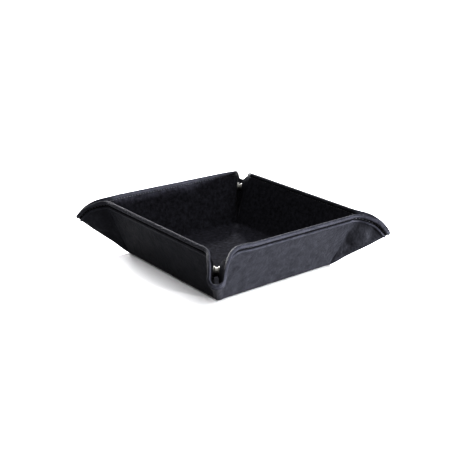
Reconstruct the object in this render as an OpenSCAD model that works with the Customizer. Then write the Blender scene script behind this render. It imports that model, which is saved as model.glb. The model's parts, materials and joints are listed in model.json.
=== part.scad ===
// Snap-corner folding dice tray.
// One flat square of leather, board and velvet folds up along the four sides of
// its base. Each corner folds in two halves that a press stud holds together.
// The frame's origin is at the middle of the underside, with +Z up.

/* [Tray] */
// Side of the square base, between opposite fold lines
base_side = 138; // [120:1:160]
// Height of a wall along its slope, from fold line to rim
wall_h = 56; // [50:1:64]
// Angle of a raised wall from the table
wall_angle = 70; // [64:1:76]
// Radius of the rounded corners of the flat sheet
sheet_corner_r = 40; // [34:1:44]

/* [Layers] */
// Thickness of the leather cover
cover_t = 1.2; // [1:0.1:1.6]
// Thickness of the stiffening board
board_t = 1.2; // [1:0.1:1.6]
// Thickness of the velvet lining
lining_t = 1.0; // [0.8:0.1:1.2]
// Distance from a panel's edge to its board
board_margin = 6; // [5:0.5:8]

/* [Edge binding] */
// Width of the binding strip on each face
binding_w = 4; // [3:0.5:5]
// Thickness of the binding strip
binding_t = 0.6; // [0.4:0.1:0.8]

/* [Press studs] */
// Distance of a stud from the base fold line, up the crease
stud_s = 38; // [36:0.5:40]
// Distance of a stud from the crease between wall and ear
stud_r = 14.5; // [13:0.5:16]
// Radius of the visible metal discs
snap_disc_r = 5; // [4.5:0.1:5.4]
// Distance from the corner's middle plane to the seat under each disc
seat_gap = 2.6; // [2.4:0.1:3]
// Radius of the stud's head
head_r = 1.8; // [1.6:0.1:1.9]
// Radius of the socket's mouth
mouth_r = 2.7; // [2.6:0.1:2.9]

/* [Hidden] */
walls = ["back", "left", "front", "right"];
ears = ["stud", "socket"];

$fn = 64;
// Slack left between panels that meet at a fold
fold_gap = 0.15;
// Whole thickness of a stiffened panel, and of an ear, which has no board
panel_t = cover_t + board_t + lining_t;
ear_t = cover_t + lining_t;
// Centre of the sheet's corner arc, from the corner of the base
arc_c = wall_h - sheet_corner_r;
// Fold angle of an ear, from its wall's plane, that brings the two halves of a
// corner together on its middle plane
ear_angle = acos(cos(wall_angle) / sqrt(1 + pow(sin(wall_angle), 2))) - atan(sin(wall_angle));
// A stud's centre on the corner's middle plane: outwards and up from the corner
stud_out = (stud_s * cos(wall_angle)
    + stud_r * (cos(ear_angle) + sin(ear_angle) * sin(wall_angle))) / sqrt(2);
stud_up = stud_s * sin(wall_angle) - stud_r * sin(ear_angle) * cos(wall_angle);
// The press stud's pieces, along its axis
flange_t = 0.9;
socket_top = -1.2;
head_tip = -1.5;
socket_floor_t = 0.7;
rivet_t = 1;
post_r = 1.2;
seat_r = snap_disc_r + 1.2;
seat_wall = 1;
big = 400;

leather = [0.07, 0.07, 0.08];
velvet = [0.05, 0.05, 0.06];
card = [0.55, 0.48, 0.38];
nickel = [0.75, 0.75, 0.77];

// A plate of a 2D outline between two depths below the lining's surface.
module plate(low, high) {
    translate([0, 0, low])
        linear_extrude(high - low)
            children();
}

// ---- Outlines in the flat sheet ----

// The base square, drawn in by inset.
module base_outline(inset) {
    square(base_side - 2 * inset, center = true);
}

// A wall panel, from its fold line at y = 0 to its rim, drawn in by inset at
// the rim and by side at the other three edges.
module wall_outline(inset, side) {
    translate([-base_side / 2 + side, side])
        square([base_side - 2 * side, wall_h - side - inset]);
}

// One corner of the sheet with its rounded edge drawn in by inset.
module sheet_corner(inset) {
    reach = wall_h - inset;
    square([reach, arc_c]);
    square([arc_c, reach]);
    translate([arc_c, arc_c])
        circle(sheet_corner_r - inset);
}

// The half of that corner between the crease, x = 0, and the diagonal fold.
module ear_outline(inset) {
    intersection() {
        sheet_corner(inset);
        polygon([
            [fold_gap, fold_gap * 3],
            [fold_gap, wall_h],
            [wall_h - fold_gap * 2, wall_h]
        ]);
    }
}

// ---- Placing panels as they stand ----

// Puts a flat wall panel on its fold line, raised.
module raised(w) {
    rotate([0, 0, 90 * w])
        translate([0, base_side / 2, panel_t])
            rotate([wall_angle, 0, 0])
                children();
}

// Puts a flat ear half on its wall: side 1 carries the stud, side -1 the socket.
module on_crease(w, side) {
    raised(w)
        mirror([side < 0 ? 1 : 0, 0, 0])
            translate([base_side / 2, 0, 0])
                rotate([0, ear_angle, 0])
                    children();
}

// Everything past the mitre at the crease, on an ear's own side of it.
module mitre() {
    translate([-fold_gap, 0, 0])
        rotate([0, -ear_angle / 2, 0])
            translate([-big, -big / 2, -big / 2])
                cube([big, big, big]);
}

// Everything past the mitre at both ends of a wall.
module wall_mitres() {
    for (side = [-1, 1])
        mirror([side < 0 ? 1 : 0, 0, 0])
            translate([base_side / 2 - fold_gap, 0, 0])
                rotate([0, ear_angle / 2, 0])
                    translate([0, -big / 2, -big / 2])
                        cube([big, big, big]);
}

// The press stud's frame: Z runs out of the corner's middle plane.
module snap_frame(w, side) {
    rotate([0, 0, 90 * w])
        mirror([side < 0 ? 1 : 0, 0, 0])
            translate([base_side / 2, base_side / 2, panel_t])
                translate([stud_out / sqrt(2), stud_out / sqrt(2), stud_up])
                    rotate([-90, 0, 45])
                        children();
}

// A round post in the press stud's frame, cut off at the ear's surface at depth.
module seat_post(w, side, r, low, depth) {
    difference() {
        snap_frame(w, side)
            translate([0, 0, low])
                cylinder(h = 12, r = r);
        on_crease(w, side)
            translate([-big / 2, -big / 2, -depth - big])
                cube([big, big, big]);
    }
}

// ---- Base ----

module base_cover() {
    color(leather)
        difference() {
            plate(0, panel_t - lining_t)
                base_outline(fold_gap);
            plate(cover_t, panel_t)
                base_outline(board_margin);
        }
}

module base_board() {
    color(card)
        plate(cover_t, cover_t + board_t)
            base_outline(board_margin);
}

module base_lining() {
    color(velvet)
        plate(panel_t - lining_t, panel_t)
            base_outline(fold_gap);
}

// ---- Walls ----

module wall_cover(w) {
    color(leather)
        raised(w)
            difference() {
                plate(-panel_t, -lining_t)
                    wall_outline(binding_t, fold_gap);
                plate(-lining_t - board_t, 0)
                    wall_outline(board_margin, board_margin);
                plate(-big, binding_t - panel_t)
                    translate([-big / 2, wall_h - binding_w])
                        square([big, big]);
                wall_mitres();
            }
}

module wall_board(w) {
    color(card)
        raised(w)
            plate(-lining_t - board_t, -lining_t)
                wall_outline(board_margin, board_margin);
}

module wall_lining(w) {
    color(velvet)
        raised(w)
            difference() {
                plate(-lining_t, 0)
                    wall_outline(binding_w, fold_gap);
                wall_mitres();
            }
}

module wall_binding(w) {
    color(leather)
        raised(w)
            difference() {
                plate(-panel_t, 0)
                    translate([-base_side / 2, wall_h - binding_w])
                        square([base_side, binding_w]);
                plate(binding_t - panel_t, -lining_t)
                    wall_outline(binding_t, -1);
                wall_mitres();
            }
}

// ---- Ears ----

module ear_cover(w, side) {
    color(leather)
        difference() {
            union() {
                on_crease(w, side)
                    difference() {
                        plate(-ear_t, -lining_t)
                            ear_outline(binding_t);
                        mitre();
                    }
                seat_post(w, side, seat_r, seat_gap + lining_t, ear_t);
            }
            snap_frame(w, side)
                cylinder(h = seat_gap + lining_t + rivet_t, r = snap_disc_r);
        }
}

module ear_lining(w, side) {
    color(velvet)
        difference() {
            union() {
                on_crease(w, side)
                    difference() {
                        plate(-lining_t, 0)
                            ear_outline(binding_w);
                        mitre();
                    }
                seat_post(w, side, seat_r + seat_wall, seat_gap, lining_t);
            }
            snap_frame(w, side)
                translate([0, 0, seat_gap + lining_t])
                    cylinder(h = 12, r = seat_r);
            snap_frame(w, side)
                cylinder(h = 12, r = post_r);
        }
}

module ear_binding(w, side) {
    color(leather)
        on_crease(w, side)
            difference() {
                plate(-ear_t - binding_t, 0)
                    difference() {
                        ear_outline(0);
                        ear_outline(binding_w);
                    }
                plate(-ear_t, -lining_t)
                    sheet_corner(binding_t);
                mitre();
            }
}

// ---- Press studs ----

module stud(w) {
    color(nickel)
        snap_frame(w, 1)
            difference() {
                union() {
                    translate([0, 0, seat_gap - flange_t])
                        cylinder(h = flange_t, r = snap_disc_r);
                    translate([0, 0, head_tip + head_r])
                        cylinder(h = seat_gap - head_tip - head_r, r = head_r - 0.2);
                    translate([0, 0, head_tip + head_r])
                        sphere(head_r);
                }
                translate([0, 0, seat_gap - flange_t])
                    cylinder(h = 12, r = post_r);
            }
}

module socket(w) {
    color(nickel)
        snap_frame(w, -1)
            rotate_extrude()
                polygon([
                    [post_r, seat_gap],
                    [snap_disc_r, seat_gap],
                    [snap_disc_r, seat_gap - flange_t],
                    [mouth_r + 1.5, seat_gap - flange_t - 0.5],
                    [mouth_r + 1.1, socket_top],
                    [mouth_r, socket_top],
                    [mouth_r, seat_gap - socket_floor_t],
                    [post_r, seat_gap - socket_floor_t]
                ]);
}

module rivet(w, side) {
    low = seat_gap - (side > 0 ? flange_t : socket_floor_t);
    color(nickel)
        snap_frame(w, side) {
            translate([0, 0, seat_gap + lining_t])
                cylinder(h = rivet_t, r = snap_disc_r);
            translate([0, 0, low])
                cylinder(h = seat_gap + lining_t - low, r = post_r);
        }
}

base_cover();
base_board();
base_lining();
for (w = [0 : 3]) {
    wall_cover(w);
    wall_board(w);
    wall_lining(w);
    wall_binding(w);
    stud(w);
    socket(w);
    for (e = [0 : 1]) {
        name = str(walls[w], "_", ears[e]);
        side = 1 - 2 * e;
        ear_cover(w, side);
        ear_lining(w, side);
        ear_binding(w, side);
        rivet(w, side);
    }
}
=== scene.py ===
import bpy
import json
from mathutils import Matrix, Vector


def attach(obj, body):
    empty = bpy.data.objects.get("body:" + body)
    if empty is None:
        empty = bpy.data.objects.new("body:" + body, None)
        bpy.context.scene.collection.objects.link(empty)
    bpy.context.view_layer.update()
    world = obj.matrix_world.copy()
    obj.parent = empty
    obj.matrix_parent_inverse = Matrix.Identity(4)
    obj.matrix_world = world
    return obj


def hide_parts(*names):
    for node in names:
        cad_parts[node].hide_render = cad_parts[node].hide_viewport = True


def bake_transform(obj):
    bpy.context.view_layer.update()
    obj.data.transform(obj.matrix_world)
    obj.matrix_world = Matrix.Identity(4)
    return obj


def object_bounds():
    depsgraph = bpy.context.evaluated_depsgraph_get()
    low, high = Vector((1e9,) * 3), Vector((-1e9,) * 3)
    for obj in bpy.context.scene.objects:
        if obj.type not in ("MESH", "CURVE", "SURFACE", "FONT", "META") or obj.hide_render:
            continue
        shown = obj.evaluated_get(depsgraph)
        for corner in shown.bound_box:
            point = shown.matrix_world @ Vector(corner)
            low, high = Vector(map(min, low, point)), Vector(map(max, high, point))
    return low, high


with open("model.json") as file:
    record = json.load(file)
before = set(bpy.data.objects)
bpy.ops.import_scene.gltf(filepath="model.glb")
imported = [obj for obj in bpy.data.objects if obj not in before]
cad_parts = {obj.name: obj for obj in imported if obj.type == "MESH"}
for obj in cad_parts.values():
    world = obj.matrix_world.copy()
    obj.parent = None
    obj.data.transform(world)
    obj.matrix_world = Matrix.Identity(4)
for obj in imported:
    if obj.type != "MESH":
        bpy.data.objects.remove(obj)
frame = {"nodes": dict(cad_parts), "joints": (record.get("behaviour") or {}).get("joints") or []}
cad_box = [list(corner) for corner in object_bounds()]

import json
import math

import bmesh
import bpy
import numpy as np
from mathutils import Matrix, Vector

MM = 0.001
# Anticlockwise seen from above. An ear's side of its wall is 1 for the right seen from inside
WALLS = ["back", "left", "front", "right"]
EARS = {"stud": 1, "socket": -1}
joints = {j["name"]: j for j in frame["joints"]}

# ---- Driving dimensions, in millimetres and radians ----
# From the frame: half the base's side, the sheet's thickness, the walls' lean and length up
# that lean, and how far an ear turns out of its wall's plane
HALF = joints["back_fold"]["pos_m"][1] / MM
SHEET_T = joints["back_fold"]["pos_m"][2] / MM
THETA = math.radians(joints["back_fold"]["range_deg"][1])
WALL_H = (cad_box[1][2] / MM - SHEET_T) / math.sin(THETA)
PHI = math.acos(math.cos(THETA) / math.hypot(1, math.sin(THETA))) - math.atan(math.sin(THETA))
# Leather or board, then the lining, an ear's whole sheet without a board, and the round corner
LAYER_T = 1.2
LINING_T = SHEET_T - 2 * LAYER_T
EAR_T = SHEET_T - LAYER_T
ARC_R = 40.0
ARC_C = WALL_H - ARC_R
# Length of an ear's rim, from its crease to its fold
RIM_LENGTH = ARC_C + ARC_R * math.pi / 4

# ---- The base's corner at the back wall's right end, and directions from it ----
CORNER = np.array([HALF, HALF, SHEET_T])
# Up the crease, out through the wall, and away from the crease in the plane of the ear
CREASE = np.array([0, math.cos(THETA), math.sin(THETA)])
OUTSIDE = np.array([0, math.sin(THETA), -math.cos(THETA)])
EAR_DIR = math.cos(PHI) * np.array([1, 0, 0]) + math.sin(PHI) * OUTSIDE
# Across the corner towards its first wall, along the ears' diagonal fold, the angle between
# an ear and the middle plane that holds the fold, and up from the fold in that plane
ACROSS = np.array([-1, 1, 0]) / math.sqrt(2)
FOLD = (CREASE + EAR_DIR) / math.sqrt(2)
TILT = math.asin(float((CREASE - EAR_DIR) @ ACROSS) / math.sqrt(2))
RISE = np.cross(ACROSS, FOLD)
RISE = RISE if RISE[2] > 0 else -RISE

# ---- Places on an ear's sheet: q along the diagonal fold and f away from it ----
# The press stud, its distance from the corner's middle plane, the radius of its flat seat
# and the radius over which the ear is drawn in to it
SNAP_Q = 37.1
SNAP_F = 16.6
SEAT_GAP = 2.6
SEAT_R = 6.0
PINCH_R = 16.0
# The bump that the rivet's cap makes in the leather: its place, radius, height and fall
CAP_Q, CAP_F, CAP_R = 36.8, 13.0, 9.0
CAP_H, CAP_FALL = 2.0, 0.7
# Where the ears' lean sets in and is whole, as q, and its clear ring round the press stud
LEAN_FROM, LEAN_TO = 10, 50
LEAN_CLEAR, LEAN_WHOLE = 7, 20
# Where the stretch of the tip sets in and is whole, as q
STRETCH_FROM, STRETCH_TO = 28, 60
# Where the pressing together sets in and is whole, in fold radii from the fold
PRESS_FROM, PRESS_TO = 1.5, 5.5
# How much the pressed ears sink, and how far from the fold: a share of q, at most a distance
SINK, SINK_SHARE, SINK_REACH = 1.5, 0.8, 32
# The fold's round bottom: the ratio of q to its radius near the base's corner, the length
# over which it grows to its radius at the tip, and how late it grows
FOLD_START, FOLD_LENGTH, FOLD_GROWTH = 6, 62, 2.5
# Half the width of a turn from wall to ear near the base, and where the turn takes its lean
TURN_LOW = 2
TURN_R = 8

# ---- How each corner's ears are pressed together ----
# The share of the free gap between them that is left, the radius of the fold's round bottom
# at its tip, half the width at the rim of the turn from the first wall and from the second,
# how far the ears lean towards the first wall, and how far the tip is stretched
SHAPES = {
    ("left", "back"): (0.58, 4.2, 13.0, 11.0, -1.0, 0.0),
    ("front", "left"): (0.84, 5.4, 24.0, 14.0, 2.4, 0.0),
    ("right", "front"): (0.5, 4.0, 8.0, 13.0, 1.2, 2.6),
    ("back", "right"): (0.78, 5.5, 18.0, 5.0, -2.6, 0.0),
}
STRAIGHT = (1, 5, 5, 0, 0)

# ---- How the sheet is cut into pieces ----
# Half the bend between base and wall, where the base's pieces end up the wall, the depth of
# the rim's detail below the edge, and where a wall's piece ends and its ears' pieces begin
BASE_BEND = 2.0
STRIP_END = 3.0
RIM_ZONE = 10.0
WALL_X = HALF - 26.0


def smooth(x, low, high):
    """0 at low, 1 at high, with soft ends."""
    t = np.clip((np.asarray(x, float) - low) / (high - low), 0, 1)
    return t * t * (3 - 2 * t)


# ---- The shape of the folded sheet ----

def fold_radius(q, tip):
    """Radius of the round bottom of a corner's diagonal fold, at a distance q along it."""
    grown = (np.maximum(q, 0) / FOLD_LENGTH) ** FOLD_GROWTH
    return np.maximum(np.minimum(q / FOLD_START, 1 + (tip - 1) * grown), 1e-3)


def fold_profile():
    """The fold's section for a radius of 1: half width and rise against distance along the sheet."""
    x = np.linspace(0, 40, 4001)
    wide = (np.sin(np.minimum(x, math.pi / 2)) ** 4 + (math.sin(TILT) * x) ** 4) ** 0.25
    slope = np.clip(np.gradient(wide, x), -1, 1)
    lost = math.cos(TILT) - np.sqrt(1 - slope ** 2)
    step = x[1] - x[0]
    rise = np.cumsum(lost[::-1])[::-1] * step
    return x, wide, rise


FOLD_X, FOLD_WIDE, FOLD_RISE = fold_profile()


def ear_lean(q, lean):
    return lean * smooth(q, LEAN_FROM, LEAN_TO)


def ear_point(s, r, shape):
    """A point of the lining's surface on an ear, s up the crease and r away from it."""
    left, tip, _, lean, stretch = shape
    q = (s + r) / math.sqrt(2)
    f = (s - r) / math.sqrt(2)
    radius = fold_radius(q, tip)
    x = np.abs(f) / radius
    wide = radius * np.interp(x, FOLD_X, FOLD_WIDE)
    wide = np.where(x > FOLD_X[-1], math.sin(TILT) * np.abs(f), wide)
    wide = wide * (1 - (1 - left) * smooth(x, PRESS_FROM, PRESS_TO))
    rise = math.cos(TILT) * np.abs(f) + radius * np.interp(x, FOLD_X, FOLD_RISE)
    # Pressed together, the ears reach further down
    gain = math.sqrt(1 - (left * math.sin(TILT)) ** 2) - math.cos(TILT)
    rise = rise - SINK * gain * np.maximum(np.clip(SINK_SHARE * q, 0, SINK_REACH) - np.abs(f), 0)
    away = np.hypot(f - SNAP_F, q - SNAP_Q)
    pinch = 1 - smooth(away, SEAT_R, PINCH_R)
    wide = wide + (SEAT_GAP - wide) * pinch
    wide = wide * np.sign(f + 1e-12) + ear_lean(q, lean) * smooth(away, LEAN_CLEAR, LEAN_WHOLE)
    q = q + stretch * smooth(q, STRETCH_FROM, STRETCH_TO)
    return CORNER + q[..., None] * FOLD + wide[..., None] * ACROSS + rise[..., None] * RISE


def wall_point(s, r):
    return CORNER + s[..., None] * CREASE + r[..., None] * np.array([1.0, 0, 0])


def side_point(s, r, shape):
    """A point of the lining's surface on a wall, or past the crease on its ear. The wall runs
    on flat until it meets the pressed ear, and turns softly there."""
    s, r = np.broadcast_arrays(np.asarray(s, float), np.asarray(r, float))
    left, _, turn, lean, _ = shape
    spread_s = math.sin(TILT) / math.sqrt(2)
    leaning = ear_lean((s + TURN_R) / math.sqrt(2), lean)
    meet = (spread_s * (1 - left) * s - leaning) / (math.sqrt(0.5) - spread_s * left)
    widest = TURN_LOW + (turn - TURN_LOW) * (np.maximum(s, 0) / WALL_H) ** 2
    b = np.maximum(np.minimum(0.5 * s, widest), 1e-3)
    h = smooth(r, meet - b, meet + b)[..., None]
    return (1 - h) * wall_point(s, r) + h * ear_point(s, r, shape)


def base_point(y, x):
    """A point of the lining's surface on the base, y < 0, or the foot of a wall, y > 0."""
    y, x = np.broadcast_arrays(np.asarray(y, float), np.asarray(x, float))
    b = BASE_BEND * smooth(HALF - np.abs(x), 0, 8) + 0.02
    t = np.clip((y + b) / (2 * b), 0, 1)[..., None]

    def flat(d):
        return np.stack([x, HALF + d, SHEET_T + 0 * d], -1)

    def raised(d):
        return np.stack([x, HALF + d * math.cos(THETA), SHEET_T + d * math.sin(THETA)], -1)

    bend = (1 - t) ** 2 * flat(-b) + 2 * t * (1 - t) * flat(0 * b) + t ** 2 * raised(b)
    out = np.where((y <= -b)[..., None], flat(y), bend)
    return np.where((y >= b)[..., None], raised(y), out)


def side_surface(shape):
    return lambda s, r: side_point(s, r, shape)


def normals(surface, a, b):
    """The lining side's unit normal of surface(a, b)."""
    step = 0.05
    da = surface(a + step, b) - surface(a - step, b)
    db = surface(a, b + step) - surface(a, b - step)
    n = np.cross(db, da)
    return n / np.maximum(np.linalg.norm(n, axis=-1, keepdims=True), 1e-9)


def offset(surface, a, b, n):
    a, b, n = np.broadcast_arrays(*(np.asarray(v, float) for v in (a, b, n)))
    return surface(a, b) + n[..., None] * normals(surface, a, b)


def rim(e, a):
    """The line at a distance e inside the sheet's edge, a from 0 at the crease to 1 at the fold."""
    along = a * RIM_LENGTH
    turn = np.maximum(along - ARC_C, 0) / ARC_R
    s = ARC_C + (ARC_R - e) * np.cos(turn)
    r = np.where(along < ARC_C, along, ARC_C + (ARC_R - e) * np.sin(turn))
    return s, r


# ---- Layers ----

# Over these distances the board's lift ends: from the base's corner, past the crease and
# from the rim
BOARD_APEX = (5, 20)
BOARD_SIDE = (3, 13)
BOARD_TOP = (6, 7.8)


def board_share(s, r):
    """1 where the board lifts the leather, falling to 0 near the rim and past the crease."""
    apex = 1 - smooth(np.hypot(s, np.maximum(r, 0)), *BOARD_APEX)
    plate = (1 - smooth(r, *BOARD_SIDE)) * smooth(WALL_H - s, *BOARD_TOP)
    return np.maximum(plate, apex * (1 - plate))


def ripple(s, r):
    """Soft unevenness of the leather's surface, a fraction of a millimetre."""
    slow = np.sin(0.11 * r + 0.9 * np.sin(0.06 * s)) * np.sin(0.09 * s + 0.8)
    quick = np.sin(0.31 * r + 0.23 * s) * np.sin(0.27 * s - 0.12 * r + 1.1)
    return 0.10 * slow + 0.05 * quick


def leather_depth(s, r, e):
    """How far the leather's outer face lies below the lining's surface."""
    f = (s - r) / math.sqrt(2)
    q = (s + r) / math.sqrt(2)
    away = np.hypot(f - CAP_F, q - CAP_Q) / CAP_R
    cap = (CAP_H - CAP_FALL * away ** 2) * (1 - smooth(away, 0.8, 1.25)) * (r > 0)
    quiet = smooth(e, 4, 8) * smooth(s, 3, 9)
    return EAR_T + LAYER_T * board_share(s, r) + cap + ripple(s, r) * quiet


# The turned edge as (distance from the rim, depth below the lining's surface): up the
# outside, with its stitched groove, over the top, down the inside and in under itself. A
# depth of None is the leather's own.
EDGE_OUTSIDE = [
    (9.2, None), (7.8, None), (7.0, 3.85), (6.5, 4.0), (6.0, 3.9), (5.6, 3.5), (5.25, 2.7),
    (4.9, 1.8), (4.4, 1.4), (3.9, 1.6), (3.55, 2.3), (3.2, 3.0), (2.8, 3.4), (2.1, 3.6),
    (1.4, 3.45), (0.8, 3.05), (0.35, 2.5), (0.08, 1.9),
]
EDGE_TOP = [(0.0, 1.35), (0.08, 0.8), (0.35, 0.3), (0.8, -0.1)]
EDGE_INSIDE = [
    (1.4, -0.35), (2.1, -0.42), (2.8, -0.35), (3.4, -0.1), (3.8, 0.3), (4.6, 0.45), (4.9, 0.9),
]
# The rows of EDGE_OUTSIDE where the edge's material starts and where the groove lies; the groove's rows
# get painted shade, a leather much darker than the rest
EDGE_FROM = 2
GROOVE_ROWS = range(6, 10)
# The depth that closes the groove where the two ears' edges meet, and the distances from
# the diagonal fold, times the root of 2, where the closing sets in and is whole
CLOSED_DEPTH = 2.6
CLOSED_FROM, CLOSED_TO = 9.0, 2.5
# The lining's edge, drawn in under the turned leather
LINING_EDGE = [
    (8.0, 0), (6.5, 0), (5.6, 0), (5.1, 0.08), (4.8, 0.3), (4.7, 0.6), (4.9, LINING_T - 0.05),
]
# The stitches' distance from the rim, and the leather that is turned in past it
STITCH_E = 4.4
TURN_IN = 8.0
# The small gap between leather and lining, and the hidden face of the turned-in leather
PLY_GAP = 0.05
EDGE_UNDER = [(5.2, LINING_T), (TURN_IN, LINING_T + PLY_GAP)]
# The depth of the lining's back
LINING_BACK = LINING_T - 0.02


def edge_drop(r):
    """The turned edge is thinner on an ear, where there is no board."""
    return 0.7 * smooth(r, 2, 14)


def side_loop(column, rows, flap):
    """One closed section of a side's leather: sheet places and depths along it. column gives
    (s, r) for a distance e from the rim, or for a share v of the way up to the rim's zone.
    flap draws the faces in past the fold."""
    path = []
    foot = [column(None, v) for v in rows]
    for s, r in foot:
        path.append((s, r, leather_depth(s, r, max(WALL_H - s, RIM_ZONE)) - flap))
    for e, depth in EDGE_OUTSIDE:
        s, r = column(e, None)
        full = leather_depth(s, r, e)
        if depth is not None:
            closing = smooth(min(s - r, s + r), CLOSED_FROM, CLOSED_TO) if r > 0 else 0
            full = depth - edge_drop(r) + closing * max(CLOSED_DEPTH - depth, 0)
        path.append((s, r, full - flap))
    for e, depth in EDGE_TOP + EDGE_INSIDE:
        s, r = column(e, None)
        path.append((s, r, depth - (edge_drop(r) if depth > 1 else 0)))
    for e, depth in EDGE_UNDER:
        s, r = column(e, None)
        path.append((s, r, depth))
    for s, r in reversed(foot):
        path.append((s, r, LINING_T + PLY_GAP + LAYER_T * board_share(s, r)))
    return path


def lining_loop(column, rows, flap):
    """One closed section of a side's lining, from its foot to its edge under the turned leather."""
    foot = [column(None, v) for v in rows]
    path = [(s, r, flap) for s, r in foot]
    for e, depth in LINING_EDGE:
        s, r = column(e, None)
        path.append((s, r, depth + flap))
    path += [(s, r, LINING_BACK) for s, r in reversed(foot)]
    return path


def wall_column(x):
    """Places up a wall at x from its middle."""
    def place(e, v):
        s = WALL_H - e if v is None else max(v * (WALL_H - RIM_ZONE), STRIP_END)
        return s, x - HALF
    return place


def ear_column(a):
    """Places on an ear from the base's corner out to its rim at a."""
    def place(e, v):
        s, r = rim(np.float64(e if v is None else RIM_ZONE), a)
        scale = 1 if v is None else v
        return float(s * scale), float(r * scale)
    return place


# ---- Meshes ----

def turned(points, wall, side):
    """Points of the back wall's right half as millimetres, put on a wall and a side, in metres."""
    p = np.array(points, float) * MM
    p[:, 0] *= side
    c, s = [(1, 0), (0, 1), (-1, 0), (0, -1)][wall]
    return np.stack([c * p[:, 0] - s * p[:, 1], s * p[:, 0] + c * p[:, 1], p[:, 2]], -1)


def make_mesh(name, points, faces, material, bands=None):
    """bands gives a material number for some of the faces: 1 is the turned edge, 2 its groove, which is
    painted darker as shade.
    """
    mesh = bpy.data.meshes.new(name)
    mesh.from_pydata([tuple(p) for p in points], [], faces)
    if bands:
        mesh.polygons.foreach_set("material_index", [bands.get(i, 0) for i in range(len(faces))])
    bm = bmesh.new()
    bm.from_mesh(mesh)
    bmesh.ops.remove_doubles(bm, verts=bm.verts, dist=2e-6)
    bmesh.ops.dissolve_degenerate(bm, edges=bm.edges, dist=1e-7)
    bmesh.ops.recalc_face_normals(bm, faces=bm.faces)
    for f in bm.faces:
        f.smooth = True
    for e in bm.edges:
        if len(e.link_faces) == 2:
            e.smooth = e.calc_face_angle(0) < math.radians(50)
    bm.to_mesh(mesh)
    bm.free()
    mesh.materials.append(material)
    if bands:
        mesh.materials.append(EDGE)
        # The groove's faces take the painted shade material
        mesh.materials.append(GROOVE_PAINTED_SHADE)
    obj = bpy.data.objects.new(name, mesh)
    bpy.context.scene.collection.objects.link(obj)
    return obj


def loft(name, loops, wall, side, material, rows=None):
    """A closed solid through sections that each are a closed ring of points, its ends closed
    by faces across the ring. rows gives a material number for some of the rows."""
    count = len(loops[0])
    points = np.concatenate(loops)
    faces, bands = [], {}
    for i in range(len(loops) - 1):
        for j in range(count):
            k = (j + 1) % count
            if rows and j in rows:
                bands[len(faces)] = rows[j]
            faces.append((i * count + j, i * count + k, (i + 1) * count + k, (i + 1) * count + j))
    last = (len(loops) - 1) * count
    half = count // 2
    for start in (0, last):
        for j in range(half - 1):
            a, b = start + j, start + j + 1
            c, d = start + count - 2 - j, start + count - 1 - j
            faces.append((a, b, c, d) if c > b else (a, b, d))
    return make_mesh(name, turned(points, wall, side), faces, material, bands)


def edge_rows(loop, rows):
    """Material numbers for the rows of a side's section that are its turned edge, with painted shade in
    its groove.
    """
    if loop is lining_loop:
        return None
    first = len(rows)
    last = first + len(EDGE_OUTSIDE) + len(EDGE_TOP) + len(EDGE_INSIDE) - 1
    found = {j: 1 for j in range(first + EDGE_FROM, last)}
    found.update({first + j: 2 for j in GROOVE_ROWS})
    return found


def section(surface, loop, column, rows, flap=0):
    """The points of one closed section of a side, on a surface."""
    path = np.array(loop(column, rows, flap))
    return offset(surface, path[:, 0], path[:, 1], -path[:, 2])


def shape_of(wall, side):
    """The shape of the corner that a wall's end belongs to."""
    pair = (WALLS[wall], WALLS[wall - 1]) if side > 0 else (WALLS[(wall + 1) % 4], WALLS[wall])
    left, tip, first, second, lean, stretch = SHAPES[pair]
    return left, tip, (first if side > 0 else second), lean * side, stretch


# Sections along a wall and across its strip on an ear's piece, and rows up each
WALL_XS = np.linspace(-WALL_X, WALL_X, 41)
STRIP_XS = np.linspace(WALL_X, HALF - 0.5, 20)
ROWS_WALL = np.linspace(STRIP_END / (WALL_H - RIM_ZONE), 1, 16)
ROWS_EAR = np.concatenate([np.linspace(0, 0.3, 8)[:-1], np.linspace(0.3, 1, 20)])
# Sections along an ear's rim, and the two past the fold that close it, drawn in by a flap
EAR_A = np.concatenate([np.linspace(0, 0.85, 26)[:-1], np.linspace(0.85, 1, 12)])
FLAP_A = [1.008, 1.018]
FLAP_IN = [0.12, 0.3]
LINING_FLAP = 0.6


def wall_piece(name, loop, wall, material):
    loops = []
    for x in WALL_XS:
        p = section(side_surface(STRAIGHT), loop, wall_column(abs(x)), ROWS_WALL)
        p[:, 0] *= 1 if x >= 0 else -1
        loops.append(p)
    return loft(name, loops, wall, 1, material, edge_rows(loop, ROWS_WALL))


def ear_piece(name, loop, wall, side, material):
    surface = side_surface(shape_of(wall, side))
    columns = [wall_column(x) for x in STRIP_XS] + [ear_column(a) for a in EAR_A]
    loops = [section(surface, loop, column, ROWS_EAR) for column in columns]
    for a, flap in zip(FLAP_A, FLAP_IN):
        flap *= LINING_FLAP if loop is lining_loop else 1
        loops.append(section(surface, loop, ear_column(a), ROWS_EAR, flap))
    return loft(name, loops, wall, side, material, edge_rows(loop, ROWS_EAR))


# Rows of the base's pieces, closer together through the bend at the wall's foot
ROWS_BASE = np.concatenate([
    np.linspace(-HALF, -8, 12)[:-1], np.linspace(-8, -2.4, 6)[:-1],
    np.linspace(-2.4, 2.4, 15)[:-1], np.linspace(2.4, STRIP_END, 3),
])


def base_piece(name, top, bottom, wall, material):
    """A quarter of the base with the bend up to one wall, between two depths."""
    loops = []
    for u in np.linspace(-1, 1, 61):
        x = u * np.where(ROWS_BASE < 0, HALF + ROWS_BASE, HALF)
        upper = offset(base_point, ROWS_BASE, x, -top)
        lower = offset(base_point, ROWS_BASE, x, -bottom)
        loops.append(np.concatenate([upper, lower[::-1]]))
    return loft(name, loops, wall, 1, material)


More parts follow.
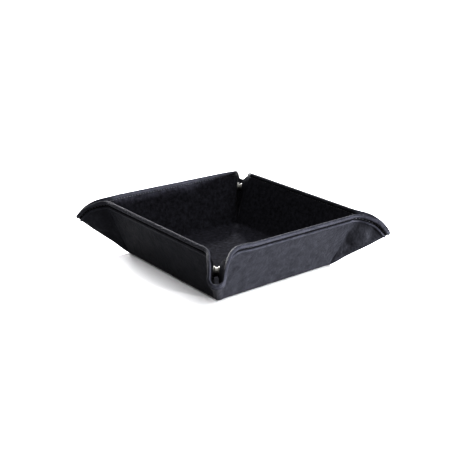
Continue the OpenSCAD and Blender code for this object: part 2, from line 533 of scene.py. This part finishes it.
def corner_boss(name, wall, material):
    """The rounded leather at a corner of the base, under the point where the folds meet."""
    radius = SHEET_T - 0.08
    points, faces = [], []
    rings, steps = 10, 32
    for i in range(rings + 1):
        down = math.pi / 2 * i / rings
        for j in range(steps):
            turn = 2 * math.pi * j / steps
            points.append([
                HALF + radius * math.cos(down) * math.cos(turn),
                HALF + radius * math.cos(down) * math.sin(turn),
                SHEET_T - radius * math.sin(down),
            ])
    for i in range(rings):
        for j in range(steps):
            k = (j + 1) % steps
            faces.append((i * steps + j, i * steps + k, (i + 1) * steps + k, (i + 1) * steps + j))
    faces.append(tuple(range(steps)))
    return make_mesh(name, turned(points, wall, 1), faces, material)


def stitches(name, places, wall, side, material):
    """Short stitches of thread along a list of (point, direction, normal), as one mesh."""
    points, faces = [], []
    half_length, radius, dive, rings, steps = 1.15, 0.26, 0.28, 6, 6
    for p, along, out in places:
        across = np.cross(along, out)
        base = len(points)
        for i in range(rings + 1):
            t = 2 * (i / rings) - 1
            thick = radius * math.sqrt(max(1 - t ** 4, 0.04))
            sink = dive * t ** 2
            for j in range(steps):
                turn = 2 * math.pi * j / steps
                ring = across * math.cos(turn) + out * math.sin(turn)
                points.append(p + along * (half_length * t) - out * sink + ring * thick)
        for i in range(rings):
            for j in range(steps):
                k = (j + 1) % steps
                a = base + i * steps
                faces.append((a + j, a + k, a + steps + k, a + steps + j))
        faces.append(tuple(base + j for j in range(steps)))
        faces.append(tuple(base + rings * steps + j for j in reversed(range(steps))))
    return make_mesh(name, turned(points, wall, side), faces, material)


def stitch_places(surface, at, length, pitch=3.1):
    """Evenly spaced places for stitches along at(t), for t from 0 to 1: in the groove outside,
    then on the turned edge inside."""
    s, r = at(np.linspace(0, 1, 400))
    count = max(int(length / pitch), 1)
    places = []
    for depth, outward in ((1.6 - edge_drop(r), -1), (0.3, 1)):
        line = offset(surface, s, r, -depth)
        run = np.concatenate([[0], np.cumsum(np.linalg.norm(np.diff(line, axis=0), axis=1))])
        for i in range(count):
            d = run[-1] * (i + 0.5) / count
            here = np.array([np.interp(d, run, line[:, k]) for k in range(3)])
            ahead = np.array([np.interp(d + 0.5, run, line[:, k]) for k in range(3)])
            behind = np.array([np.interp(d - 0.5, run, line[:, k]) for k in range(3)])
            along = (ahead - behind) / np.linalg.norm(ahead - behind)
            ss, rr = np.interp(d, run, s), np.interp(d, run, r)
            n = normals(surface, np.float64(ss), np.float64(rr)) * outward
            n = n - along * (n @ along)
            places.append((here + 0.1 * n, along, n / np.linalg.norm(n)))
    return places


# ---- Materials ----

def new_material(name):
    material = bpy.data.materials.new(name)
    material.use_nodes = True
    tree = material.node_tree
    shader = tree.nodes["Principled BSDF"]
    return material, tree, shader


def object_noise(tree, scale, detail, rough, stretch=None):
    coords = tree.nodes.new("ShaderNodeTexCoord")
    noise = tree.nodes.new("ShaderNodeTexNoise")
    noise.inputs["Scale"].default_value = scale
    noise.inputs["Detail"].default_value = detail
    noise.inputs["Roughness"].default_value = rough
    source = coords.outputs["Object"]
    if stretch:
        mapping = tree.nodes.new("ShaderNodeMapping")
        mapping.inputs["Scale"].default_value = stretch
        tree.links.new(source, mapping.inputs["Vector"])
        source = mapping.outputs["Vector"]
    tree.links.new(source, noise.inputs["Vector"])
    return noise, coords


def ramp(tree, source, stops):
    node = tree.nodes.new("ShaderNodeValToRGB")
    for i, (place, colour) in enumerate(stops):
        stop = node.color_ramp.elements[i] if i < 2 else node.color_ramp.elements.new(place)
        stop.position = place
        stop.color = (*colour, 1)
    tree.links.new(source, node.inputs["Fac"])
    return node


def spread(tree, source, low, high):
    node = tree.nodes.new("ShaderNodeMapRange")
    node.inputs["To Min"].default_value = low
    node.inputs["To Max"].default_value = high
    tree.links.new(source, node.inputs["Value"])
    return node.outputs["Result"]


def bumps(tree, shader, layers):
    """Chains bump nodes: (height output, strength, distance in metres)."""
    last = None
    for height, strength, distance in layers:
        bump = tree.nodes.new("ShaderNodeBump")
        bump.inputs["Strength"].default_value = strength
        bump.inputs["Distance"].default_value = distance
        tree.links.new(height, bump.inputs["Height"])
        if last is not None:
            tree.links.new(last, bump.inputs["Normal"])
        last = bump.outputs["Normal"]
    tree.links.new(last, shader.inputs["Normal"])


def leather_material(name, dark, light, rough_low, rough_high, gloss):
    material, tree, shader = new_material(name)
    tone, coords = object_noise(tree, 170, 6, 0.75)
    colour = ramp(tree, tone.outputs["Fac"], [(0.3, dark), (0.72, light)])
    tree.links.new(colour.outputs["Color"], shader.inputs["Base Color"])
    grain = tree.nodes.new("ShaderNodeTexVoronoi")
    grain.feature = "DISTANCE_TO_EDGE"
    grain.inputs["Scale"].default_value = 1050
    tree.links.new(coords.outputs["Object"], grain.inputs["Vector"])
    fine, _ = object_noise(tree, 2600, 3, 0.6)
    pores, _ = object_noise(tree, 420, 4, 0.62)
    wear, _ = object_noise(tree, 70, 5, 0.65)
    tree.links.new(spread(tree, wear.outputs["Fac"], rough_low, rough_high), shader.inputs["Roughness"])
    bumps(tree, shader, [
        (grain.outputs["Distance"], 0.35, 0.00025),
        (fine.outputs["Fac"], 0.25, 0.00012),
        (pores.outputs["Fac"], 0.8, 0.0011),
    ])
    shader.inputs["Specular IOR Level"].default_value = gloss
    shader.inputs["Specular Tint"].default_value = (0.88, 0.9, 1.0, 1)
    return material


def velvet_material():
    material, tree, shader = new_material("velvet_pile")
    nap, _ = object_noise(tree, 260, 6, 0.7)
    brushed, _ = object_noise(tree, 55, 4, 0.6)
    dark, light = (0.0048, 0.0048, 0.0066), (0.023, 0.023, 0.0296)
    colour = ramp(tree, nap.outputs["Fac"], [(0.35, dark), (0.68, light)])
    tree.links.new(colour.outputs["Color"], shader.inputs["Base Color"])
    tree.links.new(spread(tree, brushed.outputs["Fac"], 0.78, 0.98), shader.inputs["Roughness"])
    pile, _ = object_noise(tree, 3200, 2, 0.5)
    bumps(tree, shader, [(nap.outputs["Fac"], 0.6, 0.0008), (pile.outputs["Fac"], 0.5, 0.0003)])
    shader.inputs["Specular IOR Level"].default_value = 0.05
    shader.inputs["Sheen Weight"].default_value = 0.02
    shader.inputs["Sheen Roughness"].default_value = 0.45
    shader.inputs["Sheen Tint"].default_value = (0.55, 0.56, 0.62, 1)
    return material


def nickel_material():
    material, tree, shader = new_material("polished_nickel")
    tarnish, _ = object_noise(tree, 300, 5, 0.6)
    dark, light = (0.09, 0.088, 0.083), (0.16, 0.157, 0.149)
    colour = ramp(tree, tarnish.outputs["Fac"], [(0.25, dark), (0.7, light)])
    tree.links.new(colour.outputs["Color"], shader.inputs["Base Color"])
    tree.links.new(spread(tree, tarnish.outputs["Fac"], 0.32, 0.48), shader.inputs["Roughness"])
    scratch, _ = object_noise(tree, 900, 3, 0.5, (1, 1, 8))
    bumps(tree, shader, [(scratch.outputs["Fac"], 0.12, 0.0001)])
    shader.inputs["Metallic"].default_value = 1
    return material


def thread_material():
    material, tree, shader = new_material("waxed_thread")
    tone, _ = object_noise(tree, 900, 3, 0.5)
    dark, light = (0.012, 0.012, 0.014), (0.035, 0.035, 0.04)
    colour = ramp(tree, tone.outputs["Fac"], [(0.3, dark), (0.7, light)])
    tree.links.new(colour.outputs["Color"], shader.inputs["Base Color"])
    twist = tree.nodes.new("ShaderNodeTexWave")
    twist.bands_direction = "DIAGONAL"
    twist.inputs["Scale"].default_value = 900
    twist.inputs["Distortion"].default_value = 1.5
    bumps(tree, shader, [(twist.outputs["Fac"], 0.5, 0.0002)])
    shader.inputs["Roughness"].default_value = 0.5
    return material


def board_material():
    material, tree, shader = new_material("grey_board")
    fibre, _ = object_noise(tree, 300, 6, 0.7, (1, 4, 1))
    dark, light = (0.34, 0.29, 0.22), (0.5, 0.43, 0.34)
    colour = ramp(tree, fibre.outputs["Fac"], [(0.3, dark), (0.7, light)])
    tree.links.new(colour.outputs["Color"], shader.inputs["Base Color"])
    bumps(tree, shader, [(fibre.outputs["Fac"], 0.4, 0.0003)])
    shader.inputs["Roughness"].default_value = 0.9
    return material


LEATHER = leather_material(
    "black_leather", dark=(0.0075, 0.0077, 0.0095), light=(0.0185, 0.0189, 0.0225),
    rough_low=0.42, rough_high=0.62, gloss=0.03,
)
EDGE = leather_material(
    "black_edge_leather", dark=(0.006, 0.0062, 0.0085), light=(0.019, 0.0195, 0.025),
    rough_low=0.46, rough_high=0.62, gloss=0.1,
)
# The stitched groove's leather is painted near black: painted shade of the recess, darker than the
# leather's own colour
GROOVE_PAINTED_SHADE = leather_material(
    "groove_painted_shade", dark=(0.002, 0.002, 0.0025), light=(0.004, 0.004, 0.005),
    rough_low=0.75, rough_high=0.9, gloss=0.05,
)
VELVET = velvet_material()
NICKEL = nickel_material()
THREAD = thread_material()
BOARD = board_material()


# ---- Pieces, of which the walls' pieces and the base's corner leather are put on bodies ----

def local(point, wall, side):
    return tuple(turned([point], wall, side)[0])


# Half the width of a stretch at a crease, and at the base: its end points are worked out, but no piece
# is bent
CREASE_BEND = 4.0
FOOT_BEND = 2.0


def bend_at_crease(piece, wall, side):
    middle = np.float64(0.5 * WALL_H)
    start = wall_point(middle, np.float64(-CREASE_BEND))
    end = wall_point(middle, np.float64(0)) + CREASE_BEND * EAR_DIR
    local(start, wall, side)
    local(end, wall, side)
    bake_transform(piece)


def bend_at_base(piece, wall):
    half_way = np.array([0, math.cos(THETA / 2), math.sin(THETA / 2)]) * FOOT_BEND
    foot = np.array([0, HALF, SHEET_T])
    start = local(foot - half_way, wall, 1)
    end = local(foot + half_way, wall, 1)
    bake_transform(piece)


def wall_line(t):
    """Along the stitching of a wall, from end to end, as (s, r) from its right crease."""
    return WALL_H - STITCH_E + 0 * t, -HALF - WALL_X + 2 * WALL_X * t


def build_wall(wall):
    w = WALLS[wall]
    body = w + "_wall"
    cover = wall_piece(w + "_wall_leather", side_loop, wall, LEATHER)
    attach(cover, body)
    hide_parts(w + "_wall_cover", w + "_wall_binding")
    lining = wall_piece(w + "_wall_velvet", lining_loop, wall, VELVET)
    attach(lining, body)
    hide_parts(w + "_wall_lining")
    thread = stitches(
        w + "_wall_stitching",
        stitch_places(side_surface(STRAIGHT), wall_line, 2 * WALL_X),
        wall, 1, THREAD,
    )
    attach(thread, body)
    under = base_piece(w + "_base_leather", SHEET_T - LAYER_T, SHEET_T, wall, LEATHER)
    bend_at_base(under, wall)
    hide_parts("base_cover")
    floor = base_piece(w + "_base_velvet", 0, LINING_BACK, wall, VELVET)
    bend_at_base(floor, wall)
    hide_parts("base_lining")
    boss = corner_boss(w + "_corner_leather", wall, LEATHER)
    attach(boss, "base")


def build_ear(wall, ear):
    w, side = WALLS[wall], EARS[ear]
    body = f"{w}_{ear}_ear"
    cover = ear_piece(body + "_leather", side_loop, wall, side, LEATHER)
    bend_at_crease(cover, wall, side)
    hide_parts(body + "_cover", body + "_binding")
    lining = ear_piece(body + "_velvet", lining_loop, wall, side, VELVET)
    bend_at_crease(lining, wall, side)
    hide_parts(body + "_lining")
    seam = RIM_LENGTH + HALF - WALL_X

    def line(t):
        along = WALL_X - HALF + t * seam
        s, r = rim(STITCH_E, np.maximum(along, 0) / RIM_LENGTH)
        return s, np.where(along < 0, along, r)

    places = stitch_places(side_surface(shape_of(wall, side)), line, seam)
    thread = stitches(body + "_stitching", places, wall, side, THREAD)
    bend_at_crease(thread, wall, side)


for wall in range(4):
    build_wall(wall)
    for ear in EARS:
        build_ear(wall, ear)

for node, obj in frame["nodes"].items():
    material = BOARD if node.endswith("_board") else NICKEL
    if not obj.data.materials:
        obj.data.materials.append(material)
    for i in range(len(obj.data.materials)):
        obj.data.materials[i] = material


# ---- Camera, light and floor ----

# Angles in degrees, lens in millimetres, and lengths in sides of the base
CAMERA_AZIMUTH, CAMERA_ELEVATION, CAMERA_ROLL = -40.06, 19.71, 1.61
CAMERA_LENS = 66.95
CAMERA_DISTANCE = 5.8698
AIM_RIGHT, AIM_UP = -0.0321, 0.2535
# Half the floor's side, in metres
FLOOR_REACH = 40
# The lights: direction from the part, power, and softness as an angle in degrees
SUNS = {
    "key": ((0.564, 0.595, 0.573), 5.2, 6),
    "right_softbox": ((0.39, -0.92, 0.0), 57, 7),
    "back_softbox": ((0.2, 0.97, 0.06), 9, 34),
    "front_softbox": ((0.35, -0.7, 0.62), 2.5, 40),
    "top_softbox": ((0.1, 0.1, 1), 4.4, 90),
}


def add_camera():
    azimuth, elevation, roll = (
        math.radians(a) for a in (CAMERA_AZIMUTH, CAMERA_ELEVATION, CAMERA_ROLL)
    )
    side = 2 * HALF * MM
    right = Vector((math.cos(azimuth), math.sin(azimuth), 0))
    aim = right * (AIM_RIGHT * side) + Vector((0, 0, AIM_UP * side))
    back = Vector((
        math.sin(azimuth) * math.cos(elevation),
        -math.cos(azimuth) * math.cos(elevation),
        math.sin(elevation),
    ))
    data = bpy.data.cameras.new("camera")
    data.sensor_width = 36
    data.lens = CAMERA_LENS
    camera = bpy.data.objects.new("camera", data)
    bpy.context.scene.collection.objects.link(camera)
    camera.location = aim + back * (CAMERA_DISTANCE * side)
    look = (-back).to_track_quat("-Z", "Y").to_matrix()
    camera.rotation_euler = (look @ Matrix.Rotation(roll, 3, "Z")).to_euler()
    data.clip_start, data.clip_end = 0.01, 100
    bpy.context.scene.camera = camera


def sun_light(name, direction, power, softness):
    """An even light from a direction, like a softbox far away."""
    data = bpy.data.lights.new(name, "SUN")
    data.energy = power
    data.angle = math.radians(softness)
    light = bpy.data.objects.new(name, data)
    bpy.context.scene.collection.objects.link(light)
    light.location = Vector(direction)
    light.rotation_euler = Vector(direction).to_track_quat("Z", "Y").to_euler()


def add_studio():
    floor_material, _, shader = new_material("pale_floor")
    shader.inputs["Base Color"].default_value = (0.93, 0.93, 0.94, 1)
    shader.inputs["Roughness"].default_value = 0.7
    floor = make_mesh(
        "floor",
        [(x * FLOOR_REACH, y * FLOOR_REACH, -0.0002) for x, y in ((-1, -1), (1, -1), (1, 1), (-1, 1))],
        [(0, 1, 2, 3)],
        floor_material,
    )
    world = bpy.data.worlds.new("studio")
    bpy.context.scene.world = world
    world.use_nodes = True
    sky = world.node_tree.nodes["Background"]
    sky.inputs["Color"].default_value = (1, 1, 1, 1)
    sky.inputs["Strength"].default_value = 0.5
    view = bpy.context.scene.view_settings
    view.view_transform = "Standard"
    view.gamma = 0.7
    for name, (direction, power, softness) in SUNS.items():
        sun_light(name, direction, power, softness)


add_camera()
add_studio()
